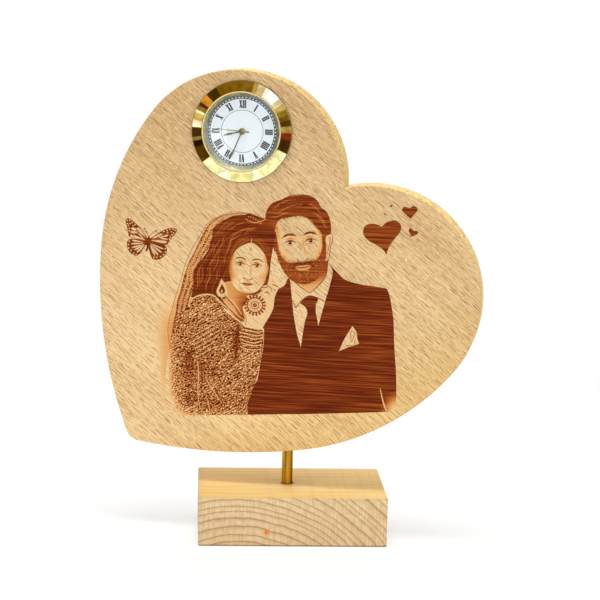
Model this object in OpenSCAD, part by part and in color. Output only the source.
// Engraved photo clock: a tilted heart of beech on a brass rod and a pine block,
// with a small quartz clock insert pressed into its upper lobe.
// The row stands on z = 0 with the dial facing -Y. Lengths are millimetres, angles degrees.

/* [Base block] */
// Length of the pine block
base_l = 68; // [62:1:76]
// Depth of the pine block
base_d = 44; // [38:1:50]
// Height of the pine block
base_h = 18; // [17:1:22]
// Turn of the block under the plaque, counter-clockwise from above
base_turn = 12.5; // [0:0.5:20]
// Rounding of the block's upright edges
base_edge_r = 0.8; // [0.4:0.1:2]

/* [Rod] */
// Diameter of the brass rod
rod_d = 4; // [3:0.5:5]
// How far the rod stands left of the middle of the block
rod_offset = 1.4; // [0:0.1:4]
// Depth of the rod in the block
rod_in_base = 14; // [8:1:15]
// Depth of the rod in the plaque
rod_in_plaque = 20; // [12:1:26]

/* [Heart plaque] */
// Thickness of the beech board
plaque_t = 12; // [11:0.5:15]
// Gap between the block and the lowest point of the heart
plaque_gap = 11.6; // [6:0.2:20]
// Sideways place of the cleft, from the middle of the block
cleft_x = 17.9; // [17:0.1:19]
// Lean of the heart, clockwise seen from the front
heart_lean = 38.9; // [36:0.1:42]
// Radius of the right lobe
right_lobe_r = 40.6; // [40:0.1:41]
// Radius of the right shoulder below the lobe
right_side_r = 88; // [86:1:90]
// Radius of the left lobe
left_lobe_r = 39.2; // [38.8:0.1:39.6]
// Radius of the left shoulder below the lobe
left_side_r = 92; // [90:1:94]
// Distance from the cleft to the centre of the rounded tip
tip_drop = 117.6; // [117:0.1:118.2]
// Radius of the rounded tip
tip_r = 5.3; // [4.5:0.1:6]

/* [Clock insert] */
// Sideways place of the clock's centre
clock_x = -19.5; // [-21:0.1:-18]
// Height of the clock's centre above the block
clock_up = 129.5; // [128:0.1:131]
// Outer diameter of the gold bezel
bezel_d = 36.5; // [36:0.1:37]
// Diameter of the hole that takes the insert
recess_d = 35; // [34.8:0.1:35.2]
// Depth of that hole
recess_depth = 8.6; // [8.5:0.1:9.5]

/* [Time shown] */
// Hours
show_hours = 8; // [0:1:11]
// Minutes
show_minutes = 33.76; // [0:0.01:59.99]
// Seconds
show_seconds = 45.7; // [0:0.1:59.9]

/* [Gear train] */
// Tooth size of the seconds train: pitch diameter over teeth
train_m = 0.15; // [0.149:0.001:0.151]
// Teeth of the second wheel
second_teeth = 60; // [60]
// Teeth of the pinion on the intermediate wheel
inter_pinion_teeth = 10; // [10]
// Teeth of the intermediate wheel
inter_teeth = 40; // [40]
// Teeth of the rotor pinion
rotor_teeth = 8; // [8]
// Teeth of the pinion on the second wheel
second_pinion_teeth = 8; // [8]
// Teeth of the third wheel
third_teeth = 60; // [60]
// Teeth of the pinion on the third wheel
third_pinion_teeth = 8; // [8]
// Teeth of the centre wheel
centre_teeth = 64; // [64]
// Teeth of the cannon pinion
cannon_teeth = 12; // [12]
// Teeth of the minute wheel
minute_teeth = 36; // [36]
// Teeth of the pinion on the minute wheel
minute_pinion_teeth = 10; // [10]
// Teeth of the hour wheel
hour_teeth = 40; // [40]
// Teeth of the setting pinion
set_teeth = 12; // [12]

/* [Hidden] */
$fn = 96;
fine = 180;
eps = 0.01;

// Clearances: a pin in its bearing, and a turned piece beside a fixed one
pin_gap = 0.03;
run_gap = 0.05;

// Rod axis in the row frame
rod_x = -rod_offset * cos(base_turn);
rod_y = -rod_offset * sin(base_turn);

// Heart outline, drawn from the cleft with its own axis pointing up.
// Each half is three tangent arcs, and both end on one small tip circle.
// The third radius is the one that closes the half on that circle.
right_start = 52.5;
right_sweep1 = 142.4;
right_sweep2 = 42.5;
left_start = 53.3;
left_sweep1 = 144.7;
left_sweep2 = 33.2;
tip_c = [0, -tip_drop];
function inward(h) = [sin(h), -cos(h)];
function heart_half(h0, r1, s1, r2, s2) =
  let (c1 = r1 * inward(h0),
       h1 = h0 - s1,
       j1 = c1 - r1 * inward(h1),
       c2 = j1 + r2 * inward(h1),
       h2 = h1 - s2,
       j2 = c2 - r2 * inward(h2),
       d = j2 - tip_c,
       r3 = (tip_r * tip_r - d * d) / (2 * (d * inward(h2) + tip_r)),
       c3 = j2 + r3 * inward(h2),
       j3 = tip_c + tip_r * (tip_c - c3) / norm(tip_c - c3))
  [[c1, r1, [0, 0], j1], [c2, r2, j1, j2], [c3, r3, j2, j3]];
right_half = heart_half(right_start, right_lobe_r, right_sweep1, right_side_r, right_sweep2);
left_half = heart_half(left_start, left_lobe_r, left_sweep1, left_side_r, left_sweep2);

// The lowest point of the leaning heart lies on the last arc of its right half
low_c = right_half[2][0];
low_drop = low_c[0] * sin(heart_lean) - low_c[1] * cos(heart_lean) + right_half[2][1];
cleft_z = base_h + plaque_gap + low_drop;

// Underside of the heart at the rod, on the same arc
low_cx = cleft_x + low_c[0] * cos(heart_lean) + low_c[1] * sin(heart_lean);
low_cz = cleft_z - low_c[0] * sin(heart_lean) + low_c[1] * cos(heart_lean);
plaque_low_z = low_cz - sqrt(pow(right_half[2][1], 2) - pow(rod_x - low_cx, 2));
rod_bottom = base_h - rod_in_base;
rod_top = plaque_low_z + rod_in_plaque;
clock_z = base_h + clock_up;

// Radii of the insert, outside inwards
bezel_r = bezel_d / 2;
recess_r = recess_d / 2;
fit_r = recess_r - 0.08;
skirt_r = recess_r - 1.1;
case_r = skirt_r - 0.5;
case_in_r = case_r - 1;
lens_r = case_in_r - 0.2;
window_r = 13.95;
dial_open_r = 12.3;
dial_r = lens_r - 0.1;

// Levels in the insert: zero is the plaque's face, plus is towards the viewer
bezel_edge_z = 0.95;
bezel_top_z = 1.85;
lens_z = 0.9;
lens_t = 0.7;
dial_z = -0.55;
dial_t = 0.4;
dial_back_z = dial_z - dial_t;
plate_z = -2.15;
plate_t = 0.8;
plate_back_z = plate_z - plate_t;
bridge_z = -4.8;
bridge_t = 0.7;
cover_z = -6.3;
cover_t = 0.8;
cover_back_z = cover_z - cover_t;

// Levels of the wheels, each the front face
centre_wheel_z = -3.1;
third_wheel_z = -3.65;
second_wheel_z = -4.15;
hour_wheel_z = -1.15;
minute_wheel_z = -1.7;
cannon_z = -1.55;
cannon_tail_z = -3.4;
wheel_t = 0.25;
hour_wheel_t = 0.3;
low_pinion_t = 0.45;
hand_t = 0.12;
hour_hand_z = -0.2;
minute_hand_z = 0.12;
second_hand_z = 0.4;

// Arbors and tubes on the centre line, inside outwards
pivot_r = 0.2;
arbor_r = 0.3;
second_arbor_r = 0.22;
cannon_bore_r = second_arbor_r + run_gap;
cannon_r = 0.55;
hour_bore_r = cannon_r + run_gap;
hour_tube_r = 0.95;
dial_bore_r = 1.15;
hub_r = 1.1;

// Tooth sizes that give each pair its centre distance
minute_dist = (cannon_teeth + minute_teeth) * train_m / 2;
hour_m = 2 * minute_dist / (minute_pinion_teeth + hour_teeth);
set_dist = (minute_teeth + set_teeth) * train_m / 2;
third_dist = (third_teeth + second_pinion_teeth) * train_m / 2;
centre_m = 2 * third_dist / (third_pinion_teeth + centre_teeth);
inter_dist = (second_teeth + inter_pinion_teeth) * train_m / 2;
rotor_dist = (inter_teeth + rotor_teeth) * train_m / 2;

// Places of the arbors, seen from the front. The rotor lies straight to the right.
function polar(r, a) = [r * cos(a), r * sin(a)];
rotor_r = 7.3;
inter_a = acos((pow(inter_dist, 2) + pow(rotor_r, 2) - pow(rotor_dist, 2)) / (2 * inter_dist * rotor_r));
third_a = inter_a + 105;
motion_a = 215;
rotor_p = [rotor_r, 0];
inter_p = polar(inter_dist, inter_a);
third_p = polar(third_dist, third_a);
minute_p = polar(minute_dist, motion_a);
set_p = polar(minute_dist + set_dist, motion_a);
posts = [[2.1, 8], [-8.2, -1.2], [4.6, -5.6]];

// Battery, contacts, board and coil
cell_p = polar(9.2, 278);
cell_r = 3.4;
cell_z = -3.4;
cell_t = 2.6;
well_r = cell_r + 0.05;
board_in_r = 9.95;
board_out_r = 13.4;
board_t = 0.3;
board_back_z = plate_back_z - board_t;
minus_end = polar(11.4, 247);
plus_a = -20;
plus_h = 2.8;
strip_t = 0.15;
coil_x = 10.6;
coil_end_y = 5.2;
coil_half = 3.9;
core_z = -4.6;
core_t = 0.5;
stator_z = -4.2;
stator_t = core_t * 0.8;
stator_hole_r = 1.45;
magnet_r = 1.2;

// Hatch over the battery: a coin turns it until its lugs meet the notches
hatch_r = 4.3;
hatch_hole_r = 3.6;
lug_r = 4.1;
lug_half_a = 15;
hatch_turn = 60;

// Angles of the hands, clockwise from twelve
second_angle = 6 * show_seconds;
minute_angle = 6 * show_minutes;
hour_angle = 30 * show_hours + 0.5 * show_minutes;

// A tooth is two flanks that bulge at the pitch circle. Widths are shares of the pitch:
// [tip height, root depth, width at the root, at the pitch circle and at the tip]
wheel_tooth = [1, 1.4, 0.5, 0.42, 0.1];
pinion_tooth = [0.8, 1.4, 0.36, 0.34, 0.1];
function tooth(r, m, pitch, a, t) = [
  for (q = [[-t[1], -t[2]], [0, -t[3]], [t[0], -t[4]], [t[0], t[4]], [0, t[3]], [-t[1], t[2]]])
    polar(r + q[0] * m, a + q[1] * pitch / 2)];
module gear(teeth, m, t, phase, z, h) {
  pitch = 360 / teeth;
  translate([0, 0, z - h]) linear_extrude(h)
    polygon([for (i = [0:teeth - 1]) each tooth(teeth * m / 2, m, pitch, phase + i * pitch, t)]);
}
// Turn of a second gear that puts its gap where the first one has a tooth.
// The line from the first centre to the second stands at angle a.
function mesh_phase(phase, teeth, mate, a) = a + 180 + (180 - (phase - a) * teeth) / mate;
rotor_phase = mesh_phase(0, inter_teeth, rotor_teeth, atan2(-inter_p[1], rotor_r - inter_p[0]));
inter_pinion_phase = mesh_phase(0, second_teeth, inter_pinion_teeth, inter_a);
third_phase = mesh_phase(0, second_pinion_teeth, third_teeth, third_a);
centre_phase = mesh_phase(0, third_pinion_teeth, centre_teeth, third_a + 180);
minute_phase = mesh_phase(0, cannon_teeth, minute_teeth, motion_a);
hour_phase = mesh_phase(0, minute_pinion_teeth, hour_teeth, motion_a + 180);
set_phase = mesh_phase(minute_phase, minute_teeth, set_teeth, motion_a);

// Frames: the plaque's sketch with its back on zero, and the clock with its face on zero
module in_plaque() translate([0, rod_y + plaque_t / 2, 0]) rotate([90, 0, 0]) children();
module in_clock() translate([clock_x, rod_y - plaque_t / 2, clock_z]) rotate([90, 0, 0]) children();
module at(p, z = 0) translate([p[0], p[1], z]) children();

// A round bar from level z down to z - h, and the same bar as a ring
module bar(r, z, h, f = 48) translate([0, 0, z - h]) cylinder(r = r, h = h, $fn = f);
module ring(r_out, r_in, z, h, f = 48) difference() {
  bar(r_out, z, h, f);
  bar(r_in, z + eps, h + 2 * eps, f);
}
// A flat link with round ends between two points
module link(a, b, w) {
  translate(a) circle(d = w, $fn = 48);
  translate(b) circle(d = w, $fn = 48);
  translate(a) rotate(atan2(b[1] - a[1], b[0] - a[0]))
    translate([0, -w / 2]) square([norm(b - a), w]);
}
// Part of a disc between two angles, less than half a turn apart
module sector(r, a0, a1) intersection() {
  circle(r = r, $fn = fine);
  polygon([[0, 0], 3 * polar(r, a0), 3 * polar(r, (a0 + a1) / 2), 3 * polar(r, a1)]);
}

// Pine block, turned a little under the plaque, with a drilled hole for the rod
module base_block() color("burlywood") rotate([0, 0, base_turn]) difference() {
  linear_extrude(base_h) {
    square([base_l - 2 * base_edge_r, base_d], center = true);
    square([base_l, base_d - 2 * base_edge_r], center = true);
    for (x = [-1, 1], y = [-1, 1])
      translate([x * (base_l / 2 - base_edge_r), y * (base_d / 2 - base_edge_r)])
        circle(r = base_edge_r, $fn = 32);
  }
  translate([-rod_offset, 0, rod_bottom]) cylinder(d = rod_d, h = base_h);
}

// Brass rod with chamfered ends, tight in the block and free to turn in the plaque
module support_rod() color("goldenrod") translate([rod_x, rod_y, 0])
  rotate_extrude() polygon([
    [0, rod_bottom], [rod_d / 2 - 0.4, rod_bottom], [rod_d / 2, rod_bottom + 0.4],
    [rod_d / 2, rod_top - 0.6], [rod_d / 2 - 0.6, rod_top], [0, rod_top]]);

// A slice of an arc's circle between the normals at its two ends, and a strip inside it
slice_in = 4;
slice_out = 12;
function beside(arc, end, d) = end + d * (end - arc[0]) / norm(end - arc[0]);
module arc_slice(arc) linear_extrude(plaque_t) intersection() {
  translate(arc[0]) circle(r = arc[1], $fn = 720);
  polygon([beside(arc, arc[2], -slice_in), beside(arc, arc[2], slice_out),
    beside(arc, arc[3], slice_out), beside(arc, arc[3], -slice_in)]);
}
// Half of the heart: the whole disc of its lobe, and two slices below it
module heart_side(half) {
  translate(half[0][0]) cylinder(r = half[0][1], h = plaque_t, $fn = 360);
  for (i = [1, 2]) arc_slice(half[i]);
}
// The corners of the core, inside the outline by half a strip
function core_corners(half) = [for (arc = half) beside(arc, arc[3], -slice_in / 2)];
function mirrored(p) = [-p[0], p[1]];
right_core = core_corners(right_half);
left_core = core_corners(left_half);
module heart_board() in_plaque() translate([cleft_x, cleft_z]) rotate(-heart_lean) {
  linear_extrude(plaque_t) polygon(concat([[0, -slice_in]], right_core,
    [for (i = [2:-1:0]) mirrored(left_core[i])]));
  heart_side(right_half);
  mirror([1, 0]) heart_side(left_half);
  translate(tip_c) cylinder(r = tip_r, h = plaque_t);
}
// Beech heart, blind-bored from the front for the insert and from below for the rod
module heart_plaque() color("tan") difference() {
  heart_board();
  in_clock() bar(recess_r, 5, 5 + recess_depth, fine);
  translate([rod_x, rod_y, 0]) cylinder(r = rod_d / 2 + run_gap, h = rod_top + run_gap);
}

// Gold bezel: a flange on the wood, a shallow cone, a lip over the glass and a skirt
module bezel() color("gold") in_clock() rotate_extrude($fn = fine) polygon([
  [skirt_r, -2.6], [skirt_r, 0], [bezel_r - 0.2, 0], [bezel_r, 0.2],
  [bezel_r, bezel_edge_z - 0.15], [bezel_r - 0.15, bezel_edge_z], [14.5, bezel_top_z],
  [14.35, bezel_top_z], [window_r, lens_z + lens_t], [lens_r, lens_z + lens_t],
  [lens_r, 0], [case_r, 0], [case_r, -2.6]]);

// Flat mineral glass
module lens() color("lightcyan", 0.4) in_clock() bar(lens_r, lens_z + lens_t, lens_t, fine);

// Polished ring that slopes from the glass down to the dial
module flange_ring() color("darkkhaki") in_clock() rotate_extrude($fn = fine) polygon([
  [lens_r, lens_z], [window_r, lens_z], [dial_open_r, dial_z + 0.1],
  [dial_open_r, dial_z], [lens_r, dial_z]]);

// White dial with the hole for the hour tube
module dial() color("white") in_clock() ring(dial_r, dial_bore_r, dial_z, dial_t, fine);

// Moulded case: a wall with a ledge that carries the main plate
module insert_case() color("dimgray") in_clock() rotate_extrude($fn = fine) polygon([
  [case_r, 0], [case_r, cover_z], [case_in_r, cover_z], [case_in_r, -3.6],
  [case_in_r - 0.7, -3.4], [case_in_r - 0.7, plate_back_z], [case_in_r, plate_back_z],
  [case_in_r, 0]]);

// Soft ring whose barbs grip the hole in the wood
barb_h = 1.35;
function barb(z) = [[fit_r - 0.45, z], [fit_r, z - 0.8], [fit_r, z - 1], [fit_r - 0.45, z - 1]];
module fit_ring() color("black") in_clock() rotate_extrude($fn = fine) polygon(concat(
  [[skirt_r, -0.15]], [for (i = [0:3]) each barb(-0.3 - i * barb_h)],
  [[fit_r - 0.45, -6], [case_r, -6], [case_r, -2.65], [skirt_r, -2.65]]));

// Back cover with its locating rim, the knob's hole, the hatch seat and two notches
module back_cover() color("silver") in_clock() difference() {
  union() {
    bar(case_r, cover_z, cover_t, fine);
    ring(case_in_r, case_in_r - 0.5, cover_z + 0.6, 0.6 + eps, fine);
  }
  at(set_p) bar(0.45, cover_z + 1, cover_t + 2);
  at(cell_p) {
    bar(hatch_hole_r, cover_z + 1, cover_t + 2, 96);
    bar(hatch_r + run_gap, cover_back_z + 0.4, 1, 96);
    for (a = [0, 180]) translate([0, 0, cover_back_z + 0.3]) linear_extrude(cover_t)
      sector(lug_r + run_gap, hatch_turn + a - lug_half_a - 3, hatch_turn + a + lug_half_a + 3);
  }
}

// Round hatch with a coin slot outside and two lugs that turn behind the cover
module battery_hatch() color("gainsboro") in_clock() at(cell_p) {
  difference() {
    bar(hatch_r, cover_back_z + 0.4 - run_gap, 0.4 - run_gap, 96);
    translate([-3, -0.4, cover_back_z - eps]) cube([6, 0.8, 0.2]);
  }
  bar(hatch_hole_r - run_gap, cover_z + 0.2, 0.7, 96);
  for (a = [0, 180]) translate([0, 0, cover_z + run_gap]) linear_extrude(0.15)
    sector(lug_r, a - lug_half_a, a + lug_half_a);
}

// Moulded main plate: a dial rim, bearings, posts, the battery well and the coil posts
module main_plate() color("ivory") in_clock() difference() {
  union() {
    bar(case_in_r - 0.05, plate_z, plate_t, fine);
    ring(case_in_r - 0.05, case_in_r - 1.1, dial_back_z, dial_back_z - plate_z + eps, fine);
    at(minute_p) bar(arbor_r, dial_back_z - 0.07, dial_back_z - 0.07 - plate_z);
    for (p = posts) at(p) bar(0.9, plate_back_z, plate_back_z - bridge_z);
    at(cell_p) ring(well_r + 0.35, well_r, plate_back_z, 2);
    for (s = [-1, 1]) at([coil_x, s * coil_end_y]) bar(0.8, plate_back_z, plate_back_z - stator_z);
  }
  bar(cannon_r + run_gap, 0, 4);
  at(set_p) bar(0.45, 0, 4);
  for (p = [third_p, inter_p, rotor_p]) at(p) bar(pivot_r + pin_gap, 0, 4, 32);
  for (p = posts) at(p) bar(0.35, plate_back_z - 0.4, 4, 32);
  for (s = [-1, 1]) at([coil_x, s * coil_end_y]) bar(0.3, plate_back_z - 0.3, 3, 32);
  translate([0, 0, board_back_z - 0.2]) linear_extrude(0.25) link(cell_p, minus_end, 1.8);
  at(cell_p, plate_back_z - 3) rotate([0, 0, plus_a]) translate([cell_r - 0.2, -0.9, 0]) cube([1, 1.8, 3]);
}

// Open train bridge: bosses over the screw posts and the back pivots, joined by beams
beam_w = 1.5;
module beam(a, b) translate([a[0], a[1], bridge_z - bridge_t])
  rotate([0, 0, atan2(b[1] - a[1], b[0] - a[0])])
    translate([0, -beam_w / 2, 0]) cube([norm(b - a), beam_w, bridge_t]);
module train_bridge() color("silver") in_clock() difference() {
  union() {
    for (p = concat(posts, [[0, 0], third_p, inter_p, rotor_p])) at(p) bar(1.1, bridge_z, bridge_t);
    for (p = concat(posts, [third_p, inter_p])) beam([0, 0], p);
    beam(inter_p, rotor_p);
  }
  for (p = posts) at(p) bar(0.4, 0, 9, 32);
  for (p = [[0, 0], third_p, inter_p, rotor_p]) at(p) bar(pivot_r + pin_gap, 0, 9, 32);
}

// A cheese-head screw: the head stands behind level z and the shank runs forward
module screw(z, head_r, shank_r, shank_l) difference() {
  union() {
    bar(head_r, z, 0.35, 32);
    bar(shank_r, z + shank_l, shank_l, 32);
  }
  translate([-head_r, -0.1, z - 0.36]) cube([2 * head_r, 0.2, 0.16]);
}
module bridge_screws() color("lightgray") in_clock()
  for (p = posts) at(p) screw(bridge_z - bridge_t, 0.75, 0.33, 1.9);
module stator_screws() color("lightgray") in_clock()
  for (s = [-1, 1]) at([coil_x, s * coil_end_y]) screw(core_z - core_t, 0.7, 0.28, 1.6);

// Stator: a pole ring round the rotor and two arms to the ends of the coil core
module stator() color("darkgray") in_clock() translate([0, 0, stator_z - stator_t])
  linear_extrude(stator_t) difference() {
    union() {
      translate(rotor_p) circle(r = 1.9, $fn = 64);
      translate([6.9, -5.9]) square([2, 11.8]);
      for (s = [-1, 1]) translate([6.9, s * coil_end_y - 0.7]) square([coil_x - 6.9, 1.4]);
      for (s = [-1, 1]) translate([coil_x, s * coil_end_y]) circle(r = 0.9, $fn = 48);
    }
    translate(rotor_p) circle(r = stator_hole_r, $fn = 64);
    for (s = [-1, 1]) translate([coil_x, s * coil_end_y]) circle(r = 0.3, $fn = 32);
  }
// Flat iron core with an eye at each end
module coil_core() color("gray") in_clock() translate([0, 0, core_z - core_t])
  linear_extrude(core_t) difference() {
    union() {
      translate([coil_x - 0.6, -coil_end_y]) square([1.2, 2 * coil_end_y]);
      for (s = [-1, 1]) translate([coil_x, s * coil_end_y]) circle(r = 0.9, $fn = 48);
    }
    for (s = [-1, 1]) translate([coil_x, s * coil_end_y]) circle(r = 0.3, $fn = 32);
  }
// Pieces turned about the coil's own axis
module on_coil() translate([coil_x, 0, core_z - core_t / 2]) rotate([90, 0, 0]) children();
module coil_bobbin() color("seashell") in_clock() difference() {
  on_coil() rotate_extrude() polygon([
    [0, -coil_half], [1.35, -coil_half], [1.35, -coil_half + 0.35], [0.85, -coil_half + 0.35],
    [0.85, coil_half - 0.35], [1.35, coil_half - 0.35], [1.35, coil_half], [0, coil_half]]);
  translate([coil_x - 0.6, -5, core_z - core_t]) cube([1.2, 10, core_t]);
}
module coil_winding() color("chocolate") in_clock() on_coil() difference() {
  translate([0, 0, -coil_half + 0.35]) cylinder(r = 1.25, h = 2 * coil_half - 0.7);
  translate([0, 0, -coil_half]) cylinder(r = 0.85, h = 2 * coil_half);
}

// Crescent board behind the plate, its sealed chip and its crystal can
module circuit_board() color("darkgreen") in_clock() translate([0, 0, board_back_z])
  linear_extrude(board_t) difference() {
    sector(board_out_r, 108, 250);
    circle(r = board_in_r, $fn = fine);
  }
module driver_chip() color("black") in_clock() at(polar(11.6, 145)) rotate_extrude($fn = 48)
  polygon([[0, board_back_z], for (a = [0:15:90]) [1.5 * cos(a), board_back_z - 0.8 * sin(a)]]);
module quartz_can() color("silver") in_clock() at(polar(11.7, 195), board_back_z - 1)
  rotate([0, 0, 15]) rotate([90, 0, 0]) translate([0, 0, -3]) {
    cylinder(r = 1, h = 6);
    for (x = [-0.35, 0.35]) translate([x, 0, 6 - eps]) cylinder(r = 0.12, h = 1, $fn = 24);
  }

// Button cell with its smaller negative face to the front, and its two spring contacts
module battery_cell() color("lightgray") in_clock() at(cell_p) rotate_extrude() polygon([
  [0, cell_z], [2.6, cell_z], [2.6, cell_z - 0.3], [cell_r - 0.1, cell_z - 0.3],
  [cell_r, cell_z - 0.4], [cell_r, cell_z - cell_t + 0.15], [cell_r - 0.15, cell_z - cell_t],
  [0, cell_z - cell_t]]);
module contact_minus() color("gold") in_clock() translate([0, 0, cell_z])
  linear_extrude(board_back_z - cell_z) link(cell_p, minus_end, 1.6);
// Upright strip through a notch in the well, against the cell's side, with a foot on the plate
module contact_plus() color("gold") in_clock() at(cell_p) rotate([0, 0, plus_a]) {
  translate([cell_r, -0.8, plate_back_z - plus_h]) cube([strip_t, 1.6, plus_h]);
  translate([cell_r, -0.8, plate_back_z - strip_t]) cube([1.8, 1.6, strip_t]);
}

// An arbor between the plates with a thinner pivot at each end
module arbor() {
  bar(arbor_r, plate_back_z - run_gap, plate_back_z - bridge_z - 2 * run_gap);
  bar(pivot_r, plate_z - 0.1, plate_z - bridge_z + bridge_t - 0.2, 32);
}
// Rotor: a round magnet and a small pinion on one arbor
module rotor() color("slategray") in_clock() at(rotor_p) {
  arbor();
  gear(rotor_teeth, train_m, pinion_tooth, rotor_phase, third_wheel_z + 0.1, low_pinion_t);
  bar(magnet_r, second_wheel_z, 0.5);
}
module intermediate_wheel() color("white") in_clock() at(inter_p) {
  arbor();
  gear(inter_teeth, train_m, wheel_tooth, 0, third_wheel_z, wheel_t);
  gear(inter_pinion_teeth, train_m, pinion_tooth, inter_pinion_phase,
    second_wheel_z + 0.1, low_pinion_t);
}
module third_wheel() color("white") in_clock() at(third_p) {
  arbor();
  gear(third_teeth, train_m, wheel_tooth, third_phase, third_wheel_z, wheel_t);
  gear(third_pinion_teeth, centre_m, pinion_tooth, 0, centre_wheel_z + 0.05, 0.4);
}
// Centre wheel: slips on the cannon pinion's tail when the hands are set
module centre_wheel() color("gold") in_clock() difference() {
  union() {
    gear(centre_teeth, centre_m, wheel_tooth, centre_phase, centre_wheel_z, wheel_t);
    bar(0.9, centre_wheel_z + 0.1, wheel_t + 0.1);
  }
  bar(cannon_r + pin_gap, 0, 9);
}
// Second wheel on the long arbor that carries the second hand
module second_wheel() color("gold") in_clock() {
  gear(second_teeth, train_m, wheel_tooth, 0, second_wheel_z, wheel_t);
  gear(second_pinion_teeth, train_m, pinion_tooth, 0, third_wheel_z + 0.1, low_pinion_t);
  bar(arbor_r, second_wheel_z + 0.2, second_wheel_z + 0.2 - bridge_z - run_gap);
  bar(second_arbor_r, second_hand_z + 0.1, second_hand_z + 0.1 - third_wheel_z);
  bar(pivot_r, second_wheel_z, second_wheel_z - bridge_z + bridge_t - 0.1, 32);
}
// Cannon pinion: its tube passes the plate, carries the minute hand and grips the centre wheel
module cannon_pinion() color("gold") in_clock() difference() {
  union() {
    bar(cannon_r, minute_hand_z + 0.03, minute_hand_z + 0.03 - cannon_tail_z);
    bar(0.8, cannon_tail_z, 0.1);
    gear(cannon_teeth, train_m, pinion_tooth, 0, cannon_z, 0.5);
  }
  bar(cannon_bore_r, 1, 5);
}
// Minute wheel and its pinion, loose on the plate's stud
module minute_wheel() color("white") in_clock() at(minute_p) difference() {
  union() {
    gear(minute_teeth, train_m, wheel_tooth, minute_phase, minute_wheel_z, wheel_t);
    gear(minute_pinion_teeth, hour_m, pinion_tooth, 0, minute_wheel_z + 0.6, 0.6 + eps);
  }
  bar(arbor_r + run_gap, 0, 3);
}
// Hour wheel with the outer tube
module hour_wheel() color("gold") in_clock() difference() {
  union() {
    gear(hour_teeth, hour_m, wheel_tooth, hour_phase, hour_wheel_z, hour_wheel_t);
    bar(hour_tube_r, hour_hand_z, hour_hand_z - hour_wheel_z + hour_wheel_t);
  }
  bar(hour_bore_r, 1, 4);
}

// A leaf hand: a hub, a slim neck, and a leaf that widens towards a pointed end.
// Widths are half widths.
module leaf_hand(angle, z, bore, neck_w, leaf_w, leaf_at, length) rotate(-angle) difference() {
  union() {
    bar(hub_r, z, hand_t, 64);
    translate([0, 0, z - hand_t]) linear_extrude(hand_t) polygon([
      [-neck_w, 0], [-neck_w, leaf_at - 2 * leaf_w - 0.6], [-leaf_w * 0.8, leaf_at - leaf_w],
      [-leaf_w, leaf_at], [0, length], [leaf_w, leaf_at], [leaf_w * 0.8, leaf_at - leaf_w],
      [neck_w, leaf_at - 2 * leaf_w - 0.6], [neck_w, 0]]);
  }
  bar(bore, 1, 3);
}
module hour_hand() color("darkgoldenrod") in_clock()
  leaf_hand(hour_angle, hour_hand_z, hour_tube_r, 0.22, 0.36, 4.9, 6.6);
module minute_hand() color("darkgoldenrod") in_clock()
  leaf_hand(minute_angle, minute_hand_z, cannon_r, 0.17, 0.38, 8.6, 10.7);
// Thin second hand with a short tail under a round cap
module second_hand() color("goldenrod") in_clock() rotate(-second_angle) {
  difference() {
    union() {
      bar(0.8, second_hand_z, 0.1, 64);
      translate([0, 0, second_hand_z - 0.1]) linear_extrude(0.1) polygon([
        [-0.18, -2.7], [0.18, -2.7], [0.12, 0], [0.06, 9.8], [-0.06, 9.8], [-0.12, 0]]);
    }
    bar(second_arbor_r, 1, 3);
  }
  rotate_extrude($fn = 64) polygon([
    [second_arbor_r, second_hand_z], [hub_r, second_hand_z], [hub_r, second_hand_z + 0.1],
    [hub_r - 0.2, second_hand_z + 0.22], [0, second_hand_z + 0.28], [0, second_hand_z + 0.1],
    [second_arbor_r, second_hand_z + 0.1]]);
}

// Setting knob: a pinion in front of the plate and a scalloped wheel behind the cover
knob_r = 2.5;
knob_t = 0.9;
scallops = 18;
module set_knob() color("dimgray") in_clock() at(set_p) {
  gear(set_teeth, train_m, pinion_tooth, set_phase, minute_wheel_z + 0.1, 0.4);
  bar(0.4, minute_wheel_z + 0.1, minute_wheel_z + 0.1 - cover_back_z + run_gap);
  difference() {
    bar(knob_r, cover_back_z - run_gap, knob_t, 96);
    for (i = [0:scallops - 1]) rotate(i * 360 / scallops)
      translate([knob_r + 0.1, 0, cover_back_z - knob_t - 0.2])
        cylinder(r = 0.28, h = knob_t + 0.4, $fn = 24);
  }
}

base_block();
support_rod();
heart_plaque();
bezel();
lens();
flange_ring();
dial();
insert_case();
fit_ring();
back_cover();
main_plate();
train_bridge();
bridge_screws();
stator();
coil_core();
coil_bobbin();
coil_winding();
stator_screws();
circuit_board();
driver_chip();
quartz_can();
battery_cell();
contact_minus();
contact_plus();
battery_hatch();
rotor();
intermediate_wheel();
third_wheel();
centre_wheel();
second_wheel();
second_hand();
cannon_pinion();
minute_hand();
minute_wheel();
hour_wheel();
hour_hand();
set_knob();
